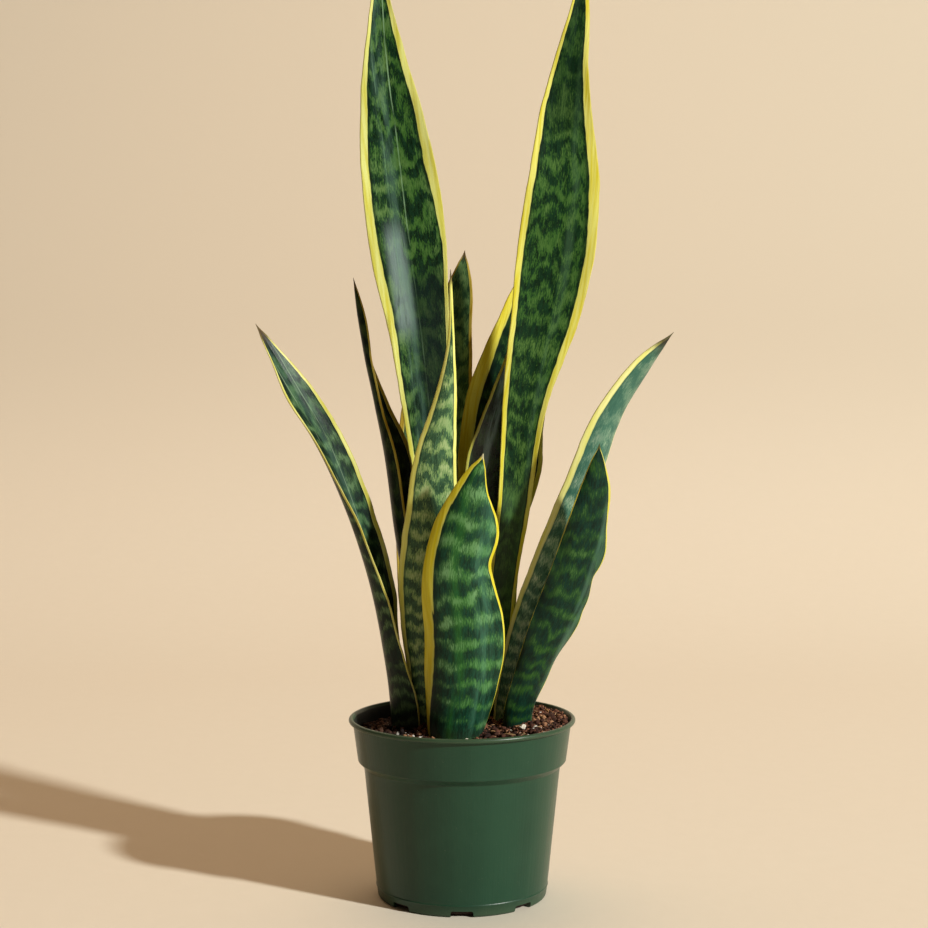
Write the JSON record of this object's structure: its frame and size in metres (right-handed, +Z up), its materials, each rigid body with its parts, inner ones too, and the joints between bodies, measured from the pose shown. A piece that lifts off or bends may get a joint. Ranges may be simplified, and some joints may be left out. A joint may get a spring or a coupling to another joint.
{
  "type": "potted snake plant",
  "caption": "Potted snake plant with upright banded leaves edged in yellow, rooted in bark and perlite mix in a tapered green nursery pot.",
  "frame": {"origin": "centre of the pot's foot, on the surface that the pot stands on", "axes": "+Z up along the pot's axis; the front of the plant, with the broad short leaf, looks along -Y; +X to the viewer's right"},
  "size_m": [0.2976, 0.165, 0.6855],
  "materials": {
    "pot_plastic": "satin dark green moulded plastic",
    "leaf_blade": "waxy green leaf with dark cross bands and yellow margins",
    "potting_mix": "damp crumbly bark and coir",
    "rhizome": "pale fibrous skin",
    "perlite": "chalky white grain",
    "bark": "rough dry bark",
    "twig": "dry straw-coloured fibre"
  },
  "bodies": {
    "root": {"pot": "pot_plastic", "potting_mix": "potting_mix", "rhizome": "rhizome", "leaf_tall_left": "leaf_blade", "leaf_tall_right": "leaf_blade", "leaf_centre": "leaf_blade", "leaf_front_broad": "leaf_blade", "leaf_outer_left": "leaf_blade", "leaf_inner_left": "leaf_blade", "leaf_back_centre": "leaf_blade", "leaf_back_gold": "leaf_blade", "leaf_back_right": "leaf_blade", "leaf_outer_right": "leaf_blade", "leaf_short_right": "leaf_blade", "perlite_1": "perlite", "bark_chip_1": "bark", "perlite_2": "perlite", "bark_chip_2": "bark", "perlite_3": "perlite", "bark_chip_3": "bark", "perlite_4": "perlite", "bark_chip_4": "bark", "perlite_5": "perlite", "bark_chip_5": "bark", "perlite_6": "perlite", "bark_chip_6": "bark", "perlite_7": "perlite", "bark_chip_7": "bark", "perlite_8": "perlite", "bark_chip_8": "bark", "twig_1": "twig", "twig_2": "twig", "twig_3": "twig"}
  },
  "joints": []
}
